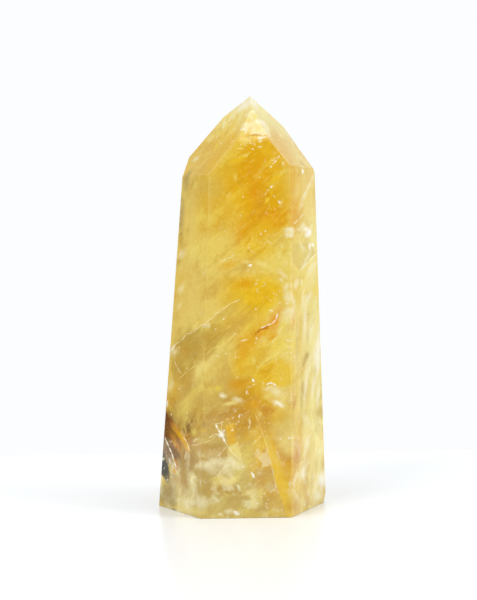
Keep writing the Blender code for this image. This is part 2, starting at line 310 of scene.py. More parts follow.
CHUNKS = [Mark(*row) for row in (
    # The tip.
    # Painted glints: the next five marks lie along the ridge between the front and left tip faces, where it
    # catches the light.
    (252.6, 112, 1.7, 1.2, 70, MILK, 0.84, 0.85),
    (251.5, 107, 3.2, 1.2, 95, MILK, 0.62),
    (251, 117, 3.2, 1.3, 100, CREAM, 0.7),
    (245.6, 123.7, 1.9, 1.4, 60, MILK, 0.75),
    (243.2, 130, 1.8, 1.4, 20, MILK, 0.84, 0.85),
    (245, 104, 8, 5, 45, MILK, 0.9, 0.9),
    # A painted glint on the same ridge, near the point.
    (250, 101, 4, 2.6, 60, MILK, 0.8),
    (247, 126, 5, 2.6, 50, CREAM, 0.8, 0.9),
    (243, 134, 4.4, 2, 40, WHEAT, 0.8, 0.9),
    (249, 114, 3, 1.6, 60, MILK, 0.7),
    (260, 122, 4.6, 2, 10, MILK, 0.7),
    (254, 130, 3, 1.4, 60, MILK, 0.7),
    (264, 130, 2.6, 2, 90, CREAM, 0.7),
    (236, 112, 5, 2.2, 50, IVORY, 0.7),
    (240, 109, 6, 2.4, 45, MILK, 0.55),
    (233, 116, 4, 1.6, 60, CREAM, 0.6),
    (238, 116, 3.6, 1.4, 80, HONEY, 0.3),
    (230, 122, 4.4, 1.4, 60, HONEY, 0.35),
    (234, 130, 4, 1.6, 50, IVORY, 0.5),
    (221, 130, 3.6, 2.4, 40, ORANGE, 0.35),
    (226, 134, 4, 1.6, 60, FLAME, 0.22),
    (217, 146, 6, 1.4, 60, LEMON, 0.6, 0.9),
    (232, 138, 5, 1.2, 70, YOLK, 0.6, 0.9),
    (207, 154, 5, 1.6, 60, WHEAT, 0.6, 0.9),
    (237, 110, 3.4, 1.8, 35, CREAM, 0.62),
    (247, 101, 3, 2.2, 60, CREAM, 0.62),
    (257, 104, 2.4, 1.4, 120, CREAM, 0.62),
    (263.3, 123.5, 2.8, 2.4, 90, MILK, 0.7, 0.95),
    (257, 128, 4.6, 4.4, 0, PALE, 0.7, 0.7),
    (210.3, 138.3, 5.4, 2.6, 45, PALE, 0.9, 0.8),
    (224.3, 123.7, 3.4, 1.8, 50, CREAM, 0.7),
    (219, 130, 4, 1.6, 50, WHEAT, 0.7, 0.9),
    (196, 159, 4.2, 2, 45, CREAM, 0.62),
    (256, 135.4, 6.5, 0.9, 178, AMBER, 0.85, 0.7),
    (249, 137, 2.2, 1.8, 0, AMBER, 0.6, 0.9),
    (232, 115, 6, 0.9, 72, IVORY, 0.6, 0.9),
    (236, 119, 7, 0.8, 76, YOLK, 0.5, 0.9),
    (228, 118, 5, 0.8, 70, YOLK, 0.5, 0.9),
    (224, 121, 5, 0.9, 68, IVORY, 0.5, 0.9),
    (240, 118, 6, 0.9, 78, IVORY, 0.6, 0.9),
    (232, 126, 5, 1, 70, YOLK, 0.5, 0.9),
    (228, 130, 5, 1.4, 60, GOLD, 0.5, 0.9),
    (283, 131, 6, 2, 130, IVORY, 0.5),
    (296, 152, 7, 2, 125, PALE, 0.5),
    (288, 144, 8, 1.4, 130, AMBER, 0.16, 0.9),
    (276, 133, 7, 1.2, 120, AMBER, 0.12, 0.9),
    (301, 162, 5, 1.4, 130, TAN, 0.3, 0.9),
    (270, 115, 6, 1.4, 125, PEACH, 0.5, 0.9),
    # The orange cloud.
    (251.5, 182, 6, 4, 80, ORANGE, 0.8),
    (254, 193, 5, 4, 60, FLAME, 0.45),
    (250, 170, 7, 3, 20, ORANGE, 0.7),
    (264, 158, 8, 3, 20, ORANGE, 0.6),
    (277, 178, 9, 3, 40, YOLK, 0.6, 0.9),
    (283, 172, 4.5, 2, 45, WHEAT, 0.6, 0.9),
    (283.3, 163, 2, 1.2, 50, CREAM, 0.62),
    (281, 203, 5, 2, 60, WHEAT, 0.7, 0.8),
    (266.5, 200.5, 4.2, 1.8, 60, LEMON, 0.65, 0.8),
    (278.6, 202, 1.6, 1.1, 80, WHITE, 0.75),
    (285, 196, 9, 3, 65, GOLD, 0.5, 0.9),
    (280, 224, 8, 2.4, 25, ORANGE, 0.8, 0.8),
    (266, 214, 6, 3, 40, FLAME, 0.25, 0.9),
    (285, 214, 6, 1.6, 30, ORANGE, 0.7, 0.8),
    (235, 178, 3.6, 1.8, 110, WHEAT, 0.6, 0.9),
    (236, 160, 9, 3, 15, YOLK, 0.7, 0.9),
    (245, 155, 7, 1.6, 20, LEMON, 0.5, 0.9),
    (229, 195, 4, 2, 50, WHEAT, 0.4, 0.9),
    (248, 251, 2.6, 1.8, 30, AMBER, 0.6, 0.9),
    (248, 242, 6, 2, 60, ORANGE, 0.6, 0.9),
    # The left edge. Its ash and olive marks are painted shade: a darker strip down the upper part of the
    # edge.
    (186.5, 180, 14, 3, 85, ASH, 0.5, 0.9),
    (181.5, 215, 22, 3, 87, ASH, 0.5, 0.9),
    (181, 240, 8, 3, 87, OLIVE, 0.7, 0.9),
    (178.5, 262, 5, 3, 80, OLIVE, 0.7, 0.9),
    (182, 254, 6, 3, 60, CREAM, 0.53),
    (181, 289, 6, 3, 70, CREAM, 0.53),
    (179, 306, 5, 2.2, 70, CREAM, 0.26),
    (174, 352, 5, 4, 40, CREAM, 0.53),
    (171, 385, 7, 3, 80, CREAM, 0.44),
    # The golden arc and its neighbours.
    (229, 265, 11, 4.4, 20, HONEY, 0.6),
    (234, 274, 6, 3, 30, WHEAT, 0.6, 0.8),
    (250, 265.3, 2.2, 1.3, 15, WHITE, 0.88, 0.85),
    (246, 262, 5, 2.4, 10, PALE, 0.6, 0.9),
    (247, 139, 5, 2, 20, PALE, 0.6, 0.9),
    (246, 131, 3.4, 1.8, 70, MILK, 0.6),
    (262, 264, 7, 3, 170, PALE, 0.7, 0.9),
    (272, 270, 6, 2.4, 150, WHEAT, 0.7, 0.9),
    (280, 275, 5, 3, 60, GOLD, 0.5, 0.9),
    # Right: whitish lumps.
    (290.5, 230, 3, 2.2, 40, MILK, 0.85),
    (292, 233, 5, 2.6, 70, CREAM, 0.75),
    (291.5, 236, 2.4, 1.6, 0, MILK, 0.6),
    (306, 229, 3.4, 2.4, 20, MILK, 0.9, 0.9),
    (309, 232.5, 3.8, 2.6, 80, WHITE, 0.95, 0.85),
    (306.5, 235, 3, 2.2, 120, MILK, 0.8),
    (311, 226.5, 2.6, 1.8, 60, CREAM, 0.8),
    (300, 229, 3.8, 2.6, 30, CREAM, 0.6),
    (303, 226, 3, 3, 0, CREAM, 0.62),
    (299, 236, 3, 3, 0, PALE, 0.6, 0.9),
    (286, 262, 4.6, 3.6, 70, PALE, 0.8, 0.9),
    (285, 250, 5, 3, 60, GOLD, 0.5, 0.9),
    (312.8, 245, 1.8, 2, 0, WHITE, 0.79, 0.95),
    (287, 286, 4.4, 2.4, 60, CREAM, 0.6),
    (281, 280, 3.4, 1.8, 120, MILK, 0.44),
    (288, 296, 10, 4, 110, CREAM, 0.55),
    (292, 314, 9, 3, 80, CREAM, 0.5),
    (283, 274, 7, 3, 140, CREAM, 0.5),
    (296, 284, 6, 2.4, 70, MILK, 0.5),
    (302, 246, 6, 2, 120, CREAM, 0.5),
    (293, 300, 7, 2.2, 110, CREAM, 0.5),
    (292, 310, 4, 1.8, 60, CREAM, 0.6),
    (286, 318, 5, 2, 70, PALE, 0.5),
    (279, 256, 3, 2, 60, PALE, 0.6, 0.9),
    (312, 268, 9, 3, 60, CREAM, 0.62),
    (309, 297, 7, 3, 60, MILK, 0.44),
    (316, 290, 8, 3, 70, LEMON, 0.5, 0.9),
    (303, 205, 8, 2.2, 60, PEACH, 0.6, 0.9),
    (297, 190, 12, 3, 80, PEACH, 0.6, 0.9),
    (306, 194, 17, 2.5, 66, CREAM, 0.4),
    (309, 195, 12, 3, 70, WHEAT, 0.6, 0.9),
    # The middle.
    (222, 345, 8, 4, 50, WHEAT, 0.7, 0.9),
    (204.5, 325, 4, 1.6, 50, CREAM, 0.6),
    (186, 350, 6, 6, 20, AMBER, 0.25, 0.9),
    (196, 333, 6, 2.6, 35, OLIVE, 0.7, 0.9),
    (211, 336, 8, 2.4, 25, AMBER, 0.25, 0.9),
    (264, 329, 5.4, 1.3, 28, RUST, 0.85, 0.8),
    (258, 333, 3.4, 1.4, 40, RUST, 0.7, 0.9),
    (262, 340, 7, 3.4, 20, PEACH, 0.5, 0.9),
    (272, 337, 7, 2.8, 40, ORANGE, 0.8, 0.9),
    (283, 326, 6, 1.8, 60, LEMON, 0.8, 0.9),
    (289, 341, 3, 1.4, 150, CREAM, 0.75),
    (253, 361, 3.8, 2.6, 80, WHEAT, 0.8, 0.8),
    (242, 355, 5, 2.4, 100, FLAME, 0.2, 0.9),
    (242, 372, 5, 3, 60, HONEY, 0.6, 0.9),
    (226, 364, 9, 3, 100, SAND, 0.4, 0.9),
    (262, 352, 8, 4, 40, GOLD, 0.6, 0.9),
    (218, 388, 2, 1.8, 0, LEMON, 0.7, 0.8),
    # The lower middle: whitish lumps over gold.
    (223, 395.5, 4.2, 2.6, 160, CREAM, 0.75),
    (238, 400, 5.4, 2.8, 170, CREAM, 0.7),
    (230, 404, 8, 2.4, 10, PALE, 0.8, 0.9),
    (222, 409, 8, 3, 10, SAND, 0.6, 0.9),
    (276, 392, 7, 4.4, 160, CREAM, 0.7),
    (284, 398, 5, 4, 60, PALE, 0.7),
    (268, 396, 6, 3.4, 20, WHEAT, 0.7),
    (279, 403.5, 6, 2.6, 150, MILK, 0.75, 0.9),
    (268, 388, 5, 2.2, 10, CREAM, 0.5),
    (255, 403, 5, 5, 0, ORANGE, 0.9, 0.9),
    (277, 417, 14, 7, 20, GOLD, 0.75, 0.9),
    (264, 425, 9, 5, 80, BRASS, 0.7, 0.9),
    (272, 438, 10, 4, 80, GOLD, 0.6, 0.9),
    (269, 428, 12, 4, 80, BRASS, 0.5),
    (244, 412, 7, 3, 10, AMBER, 0.4, 0.9),
    (234, 416, 8, 2.6, 10, AMBER, 0.35, 0.9),
    (249, 421, 4.4, 1.4, 85, WHEAT, 0.8, 0.8),
    (262, 430, 7, 2.4, 100, ORANGE, 0.5, 0.9),
    (221.4, 434.6, 3.6, 2.2, 60, WHITE, 0.9),
    # Lower left: brown, black and ash.
    (165.5, 419, 10, 6, 100, UMBER, 1, 0.8),
    (165, 433, 9, 6, 95, UMBER, 0.9, 0.8),
    (172, 424, 6, 2.2, 100, RUST, 0.35, 0.9),
    (164.5, 447, 8, 4.5, 90, ASH, 0.8, 0.7),
    (167, 458, 8, 3.8, 100, ASH, 0.9, 0.7),
    (173, 476, 9, 4, 105, BRONZE, 0.55, 0.9),
    (164.4, 468.5, 12, 3.3, 105, SMOKE, 1, 0.35),
    (163.2, 455, 4, 2.2, 90, SMOKE, 0.7, 0.8),
    (173, 452, 13, 5.2, 110, UMBER, 0.9, 0.8),
    (178, 440, 9, 3, 105, UMBER, 0.6, 0.9),
    (176, 465, 5, 2, 105, RUST, 0.9, 0.8),
    (181, 436, 9, 2.1, 125, HONEY, 0.9, 0.8),
    (187, 447, 5.6, 2.2, 115, HONEY, 0.9, 0.8),
    (176, 428, 6, 2.5, 120, AMBER, 0.6, 0.9),
    (188, 427, 6.5, 2, 100, UMBER, 0.75, 0.9),
    (191, 423, 5, 1.4, 50, UMBER, 0.5, 0.9),
    (194, 432, 4.4, 2.5, 80, WHEAT, 0.7, 0.9),
    (198, 438, 4.1, 2.4, 20, OLIVE, 0.5, 0.9),
    (203, 426, 4.6, 1.4, 90, UMBER, 0.4, 0.9),
    (205, 431, 3, 2.4, 90, YOLK, 0.4, 0.9),
    (168, 492, 16, 8.2, 85, MOSS, 0.8, 0.9),
    (183, 484, 14, 6, 100, TAN, 0.5, 0.9),
    (184, 462, 14, 6.8, 100, BRONZE, 0.6, 0.9),
    (173, 503, 6, 3.8, 120, MOSS, 0.8, 0.9),
    (177, 480, 5, 3, 110, TAN, 0.6, 0.9),
    (171.5, 437, 4, 1, 118, RUST, 0.8, 0.9),
    (174, 444, 4, 1, 112, ORANGE, 0.8, 0.9),
    (178, 446, 5, 1.1, 118, FLAME, 0.7, 0.9),
    (170, 462, 4, 1.2, 105, MILK, 0.6, 0.9),
    (174.5, 471, 3, 1.1, 110, ORANGE, 0.9, 0.9),
    (172, 431, 5, 1.5, 120, UMBER, 0.8, 0.9),
    (184, 431, 3, 1, 100, UMBER, 0.6, 0.9),
    (196, 440, 3, 1, 30, CREAM, 0.6, 0.9),
    (179, 455, 4, 1.2, 115, UMBER, 0.7, 0.9),
    (185, 456, 3.5, 1, 80, CREAM, 0.5, 0.9),
    (192, 458, 5, 1.4, 85, BRONZE, 0.6, 0.9),
    # The foot's milky patches.
    (222, 462, 16, 5, 5, CREAM, 0.55),
    (238, 466, 6, 4, 0, CREAM, 0.6),
    (216, 490, 10, 5, 20, OLIVE, 0.35),
    (247, 484, 8, 6, 60, OLIVE, 0.4),
    (236, 498, 10, 4, 20, TAN, 0.6),
    (216, 446, 10, 4, 5, BRONZE, 0.4),
    (187, 505, 9, 4, 110, CREAM, 0.7),
    (186, 408, 13, 8, 55, WHEAT, 0.6),
    (286, 441, 12, 8, 60, PALE, 0.75),
    (292, 450, 7, 5, 80, PALE, 0.6),
    (212, 469, 8, 6, 0, CREAM, 0.45),
    (230, 466, 7, 5, 30, CREAM, 0.3),
    (221, 482, 9, 4, 20, PALE, 0.6),
    (248, 424, 10, 5, 80, BRASS, 0.6),
    (236, 413, 10, 4, 10, BRASS, 0.5),
    (185, 482, 12, 5, 105, BRONZE, 0.55),
    (207, 465, 5.4, 4.6, 0, CREAM, 0.66),
    (197, 466, 2.5, 3, 0, CREAM, 0.44),
    (203, 503, 7, 6, 90, CREAM, 0.62),
    (218, 478, 8, 3, 20, WHEAT, 0.6, 0.9),
    (233, 480, 8, 3.6, 30, PALE, 0.8, 0.9),
    (238, 487, 4, 1.8, 120, CREAM, 0.79),
    (236.7, 513, 2.8, 2.2, 0, WHITE, 0.88, 0.95),
    (230, 511, 6, 3, 0, CREAM, 0.62),
    (220.5, 514, 2.4, 1.8, 0, CREAM, 0.7),
    (250, 492, 10, 2.6, 25, PALE, 0.6, 0.9),
    (270, 512, 30, 3, 0, WHEAT, 0.5),
    (195, 511, 22, 4, 170, PALE, 0.5),
    (262, 510, 10, 3.4, 10, TAN, 0.6, 0.9),
    (292, 508, 9, 5, 20, AMBER, 0.4, 0.9),
    (262, 480, 7, 4, 100, AMBER, 0.2, 0.9),
    # The right face, lower down: upright streaks.
    (300, 335, 26, 2, 88, GOLD, 0.5, 0.9),
    (306, 385, 22, 2.2, 86, MILK, 0.55),
    (297, 385, 16, 1.6, 88, HONEY, 0.4, 0.9),
    (312, 300, 16, 2, 84, WHEAT, 0.6, 0.9),
    (303, 300, 14, 1.6, 86, CREAM, 0.55, 0.9),
    (308, 335, 10, 1.6, 84, TAN, 0.5, 0.9),
    (315, 375, 12, 1.4, 86, SAND, 0.55, 0.9),
    (301, 430, 14, 1.8, 88, GOLD, 0.5, 0.9),
    (305, 450, 12, 1.4, 88, CREAM, 0.55, 0.9),
    (312, 480, 12, 1.6, 86, TAN, 0.45, 0.9),
    (300, 215, 12, 2, 70, ORANGE, 0.3, 0.9),
    (306, 260, 12, 1.6, 62, CREAM, 0.5, 0.9),
    (305, 320, 20, 1.8, 87, MILK, 0.5),
    (297, 345, 24, 1.8, 90, TAN, 0.4),
    (318.5, 350, 26, 2.2, 88, WHITE, 0.6),
    (310, 365, 12, 1.8, 86, CREAM, 0.5),
    (318, 395, 14, 1.8, 84, MILK, 0.6),
    (302, 395, 18, 1.8, 89, MOSS, 0.4),
    (308, 442, 10, 2.2, 84, MILK, 0.5),
    (316, 465, 10, 1.8, 88, TAN, 0.4),
    (300, 495, 12, 2.4, 86, SAND, 0.5),
    (294, 403, 7, 2.2, 88, AMBER, 0.6, 0.8),
    (297, 455, 12, 3.8, 88, AMBER, 0.6, 0.9),
    (306, 357, 6, 2, 70, OLIVE, 0.8, 0.9),
    (302, 372, 9, 2.2, 60, GOLD, 0.5, 0.9),
    (321, 412, 7, 4.5, 80, SAND, 0.8, 0.8),
    (317, 355, 16, 4.5, 88, MILK, 0.7),
    (311, 330, 12, 3.8, 80, CREAM, 0.53),
    (308, 395, 16, 3, 84, STRAW, 0.6, 0.9),
    (314, 385, 14, 2.2, 80, MILK, 0.53),
    (308, 431, 3.8, 5, 0, PALE, 0.8, 0.8),
    (322, 480, 9, 4.5, 85, WHITE, 0.75),
    (318, 495, 7, 5.2, 80, CREAM, 0.79),
    (303, 473, 6, 2, 85, MILK, 0.7),
    (306, 420, 8, 3, 120, CREAM, 0.53),
    (312, 445, 12, 3.8, 88, STRAW, 0.7, 0.9),
    (320, 440, 10, 3, 88, PALE, 0.6, 0.9),
)]

CRACKS = [Crack(*row) for row in (
    # The long jagged crack across the left, and the lines round it.
    (((173, 346), (181, 341), (186, 334), (193, 332), (199, 327), (205, 323), (213, 317), (221, 310),
     (230, 304), (240, 299)), 0.42, CREAM, 0.7),
    (((171, 351), (175, 345)), 1.2, MILK, 0.7),
    (((174, 361), (177, 367), (181, 374)), 0.4, CREAM, 0.6),
    (((178, 380), (188, 371), (197, 364)), 0.4, PALE, 0.7),
    (((206, 355), (212, 349), (226, 343), (237, 332)), 0.7, PALE, 0.5),
    # The bow of white over the red streak.
    (((277.4, 313), (276.4, 319), (272, 324), (266, 325.5), (261, 328)), 0.55, WHITE, 0.8),
    (((269, 310), (273, 311)), 0.9, CREAM, 0.8),
    (((256, 332), (262, 328.5), (270, 325)), 0.8, RUST, 0.7),
    (((240.5, 341), (248, 339.5)), 0.7, CREAM, 0.85),
    (((290, 312), (285, 324), (277, 335), (272, 344)), 0.5, CREAM, 0.6),
    (((233, 333), (238, 335)), 0.4, CREAM, 0.6),
    # The arc over the pale lump.
    (((266.5, 385), (269, 383.2), (273, 382.8), (276.5, 386)), 0.7, WHITE, 0.9),
    (((252, 378.5), (254.5, 382)), 0.9, WHITE, 0.95),
    (((258, 375), (262, 366), (272, 359)), 0.5, AMBER, 0.6),
    (((246, 388), (252, 386), (256, 384)), 0.5, CREAM, 0.6),
    (((247, 390), (246, 394)), 0.6, MILK, 0.8),
    (((276, 401), (283, 407)), 0.8, MILK, 0.7),
    # The star of cracks above the foot.
    (((215.3, 424), (218, 429), (221.4, 434)), 1, MILK, 0.95),
    (((221, 420.5), (221.5, 426), (221.4, 434)), 0.4, CREAM, 0.7),
    (((221.4, 434), (224, 440), (227.6, 446.5), (232.6, 453), (237, 457.5), (241.4, 460)), 0.38, MILK, 0.7),
    (((221.4, 434), (216, 436), (211.3, 440), (202, 443.5), (190, 446)), 0.4, CREAM, 0.6),
    (((221.4, 434), (214, 434.5), (208, 438)), 0.5, CREAM, 0.7),
    (((221.4, 434.5), (223.5, 438), (225, 442)), 1.1, WHITE, 0.8),
    (((227, 446), (222, 452), (216, 457)), 0.4, CREAM, 0.6),
    (((215, 424), (220, 423), (224, 421)), 0.5, CREAM, 0.6),
    (((240, 414), (239, 418)), 0.6, CREAM, 0.8),
    (((229, 421), (231, 426), (234, 431)), 0.45, PALE, 0.7),
    (((249, 419), (250, 424), (248.5, 429)), 0.6, CREAM, 0.75),
    # The left rim of the golden band.
    (((266.2, 443), (269, 455), (271.5, 466), (274, 478), (276.8, 488)), 0.4, CREAM, 0.65),
    (((255, 412), (259, 424), (264, 438), (267, 447)), 0.5, PALE, 0.6),
    # The dark corner's filaments.
    (((166, 440), (169, 447), (171.8, 453), (174, 461), (176.5, 468.5)), 0.7, MILK, 0.9),
    (((164.8, 437), (166, 441)), 0.5, WHITE, 0.8),
    (((167.6, 400), (167.2, 407)), 0.7, WHITE, 0.6),
    (((183, 437), (187, 442), (190, 452)), 0.5, CREAM, 0.8),
    (((174, 458), (178, 466)), 0.5, ORANGE, 0.7),
    # Streaks across the upper right.
    (((302, 199), (307, 190), (311, 181), (314, 174)), 1.2, CREAM, 0.6),
    (((263, 183), (270, 176), (280, 172), (290, 169.7)), 0.5, STRAW, 0.7),
    (((272.5, 164), (277, 160)), 0.6, CREAM, 0.85),
    (((250, 163), (254, 159)), 0.5, STRAW, 0.7),
    (((257, 147), (262, 146.5)), 0.5, CREAM, 0.8),
    (((236, 149), (244, 148)), 0.6, PALE, 0.8),
    (((263, 197), (271, 188), (280, 181)), 0.5, STRAW, 0.7),
    (((294, 224), (299, 219), (304, 213)), 0.5, CREAM, 0.7),
    (((232, 235), (240, 229), (247, 223)), 0.6, STRAW, 0.6),
    (((268, 216), (276, 213), (284, 212)), 0.4, YOLK, 0.7),
    (((262, 246), (268, 239), (278, 233), (288, 229)), 0.6, STRAW, 0.7),
    (((309.5, 243), (310, 250)), 0.9, WHITE, 0.9),
    (((302.5, 168.5), (302.8, 174)), 1, WHITE, 0.8),
    (((317, 253), (309, 261), (300, 271)), 0.7, CREAM, 0.9),
    (((301.6, 278), (301.8, 287)), 0.7, CREAM, 0.8),
    (((229, 122), (231, 115), (234, 109)), 0.4, MILK, 0.5),
    (((237, 124), (238.5, 116), (240, 110)), 0.5, IVORY, 0.6),
    (((222, 131), (224, 124), (227, 118)), 0.4, CREAM, 0.5),
    (((243, 121), (243.5, 115), (245, 109)), 0.4, YOLK, 0.5),
    (((216, 139), (219, 134)), 0.4, CREAM, 0.6),
    (((272, 124), (278, 131), (283, 139)), 0.4, CREAM, 0.5),
    (((284, 131), (290, 139), (295, 147)), 0.4, WHITE, 0.4),
    (((221, 262), (227, 258), (233, 257)), 0.5, CREAM, 0.6),
    (((207, 176), (213, 168), (222, 158)), 0.4, STRAW, 0.5),
    (((302, 368), (306, 360), (309, 352)), 0.9, MOSS, 0.5),
)]

# The pale flecks are painted glints, where tiny flaws catch the light; the umber ones are small dark
# flecks.
GLINTS_AND_FLECKS = [Mark(*row) for row in (
    (271.5, 186.8, 1.3, 0.8, 45, WHITE, 0.88, 0.75),
    (268, 190, 0.8, 0.5, 45, WHITE, 0.7, 0.85),
    (265.5, 194, 0.8, 0.5, 60, CREAM, 0.7, 0.85),
    (259.7, 177.3, 0.9, 0.5, 20, CREAM, 0.79, 0.85),
    (243.2, 196.8, 0.6, 0.6, 0, WHITE, 0.7, 0.85),
    (221, 143.5, 0.7, 0.5, 0, WHITE, 0.79, 0.85),
    (219, 140.5, 0.6, 0.4, 0, CREAM, 0.7, 0.85),
    (208, 148, 0.6, 0.4, 0, CREAM, 0.7, 0.85),
    (261, 234, 0.9, 0.6, 80, WHITE, 0.7, 0.85),
    (265.5, 231, 0.8, 0.6, 60, WHITE, 0.7, 0.85),
    (243.2, 466.8, 1.1, 0.6, 150, WHITE, 0.79, 0.85),
    (253, 475, 3, 1, 118, WHITE, 0.88, 0.65),
    (289.2, 438, 1, 0.8, 0, WHITE, 0.88, 0.75),
    (280.6, 439, 1.2, 0.8, 0, MILK, 0.7, 0.95),
    (222, 396, 1, 0.6, 0, WHITE, 0.88, 0.75),
    (237.5, 377, 0.6, 0.5, 0, MILK, 0.79, 0.85),
    (226, 353.5, 0.7, 0.5, 0, MILK, 0.79, 0.85),
    (217.5, 356, 1, 0.5, 10, MILK, 0.7, 0.85),
    (238, 514.5, 0.9, 0.7, 0, WHITE, 0.88, 0.75),
    (234.5, 511.5, 0.8, 0.6, 0, WHITE, 0.88, 0.75),
    (163.3, 459, 1.6, 1.2, 90, MILK, 0.79, 0.95),
    (167.5, 480, 1.4, 1, 90, MILK, 0.62),
    (181.5, 200, 0.9, 0.6, 80, UMBER, 0.6, 0.8),
    (181, 234, 1.1, 0.7, 60, UMBER, 0.5, 0.8),
    (184, 229, 0.9, 0.5, 40, UMBER, 0.5, 0.8),
    (180.5, 225, 0.8, 0.5, 40, UMBER, 0.5, 0.8),
)]


class Graph:
    """Adds nodes to a node tree, one small step after another."""

    def __init__(self, tree):
        self.tree = tree

    def node(self, kind, **settings):
        node = self.tree.nodes.new(kind)
        for name, value in settings.items():
            setattr(node, name, value)
        return node

    def feed(self, socket, value):
        """Give a socket another node's output, or a fixed value."""
        if isinstance(value, bpy.types.NodeSocket):
            self.tree.links.new(value, socket)
        else:
            socket.default_value = value

    def number(self, operation, *values):
        node = self.node("ShaderNodeMath", operation=operation)
        for socket, value in zip(node.inputs, values):
            self.feed(socket, value)
        return node.outputs["Value"]

    def vector(self, operation, *values):
        node = self.node("ShaderNodeVectorMath", operation=operation)
        for socket, value in zip(node.inputs, values):
            self.feed(socket, value)
        return node.outputs["Value" if operation in ("LENGTH", "DOT_PRODUCT") else "Vector"]

    def scaled(self, vector, amount):
        node = self.node("ShaderNodeVectorMath", operation="SCALE")
        self.feed(node.inputs[0], vector)
        self.feed(node.inputs["Scale"], amount)
        return node.outputs["Vector"]

    def fade(self, value, start, end, low=0.0, high=1.0):
        """low until the value reaches start, then smoothly to high at end."""
        node = self.node("ShaderNodeMapRange", interpolation_type="SMOOTHSTEP")
        given = {"Value": value, "From Min": start, "From Max": end, "To Min": low, "To Max": high}
        for name, amount in given.items():
            self.feed(node.inputs[name], amount)
        return node.outputs["Result"]

    def mix(self, amount, under, over, blend="MIX"):
        """One colour over another, in the node's sockets for colours."""
        node = self.node("ShaderNodeMix", data_type="RGBA", blend_type=blend)
        self.feed(node.inputs[0], amount)
        self.feed(node.inputs[6], under)
        self.feed(node.inputs[7], over)
        return node.outputs[2]

    def choose(self, amount, under, over):
        """One vector instead of another where the amount is 1, in the node's sockets for vectors."""
        node = self.node("ShaderNodeMix", data_type="VECTOR")
        self.feed(node.inputs[0], amount)
        self.feed(node.inputs[4], under)
        self.feed(node.inputs[5], over)
        return node.outputs[1]

    def noise(self, where, grain, detail=3.0, roughness=0.5):
        """Cloudy noise around 0.5 whose lumps are about a grain across."""
        node = self.node("ShaderNodeTexNoise")
        given = {"Vector": where, "Scale": 1 / grain, "Detail": detail, "Roughness": roughness}
        for name, value in given.items():
            self.feed(node.inputs[name], value)
        return node

    def patchy(self, where, grain, start, end, high=1.0, detail=4.0, roughness=0.55):
        """Soft-edged patches about a grain across, from 0 between them to high inside them."""
        noise = self.noise(where, grain, detail=detail, roughness=roughness)
        return self.fade(noise.outputs["Fac"], start, end, high=high)

    def cells(self, where, grain):
        """Cells about a grain across: each one's own number from 0 to 1, and how far its middle is."""
        node = self.node("ShaderNodeTexVoronoi", feature="F1")
        self.feed(node.inputs["Vector"], where)
        self.feed(node.inputs["Scale"], 1 / grain)
        own_number = self.vector("DOT_PRODUCT", node.outputs["Color"], (1.0, 0.0, 0.0))
        return own_number, node.outputs["Distance"]

    def later(self, where, colour):
        """The same place, worked out after a colour, so that a long chain of marks is done in stretches."""
        return self.vector("MULTIPLY_ADD", colour, (TRACE, TRACE, TRACE), where)

    def use(self, group, **inputs):
        """The output of a node group, given its inputs by name."""
        node = self.node("ShaderNodeGroup", node_tree=group)
        for name, value in inputs.items():
            self.feed(node.inputs[name], value)
        return node.outputs[0]


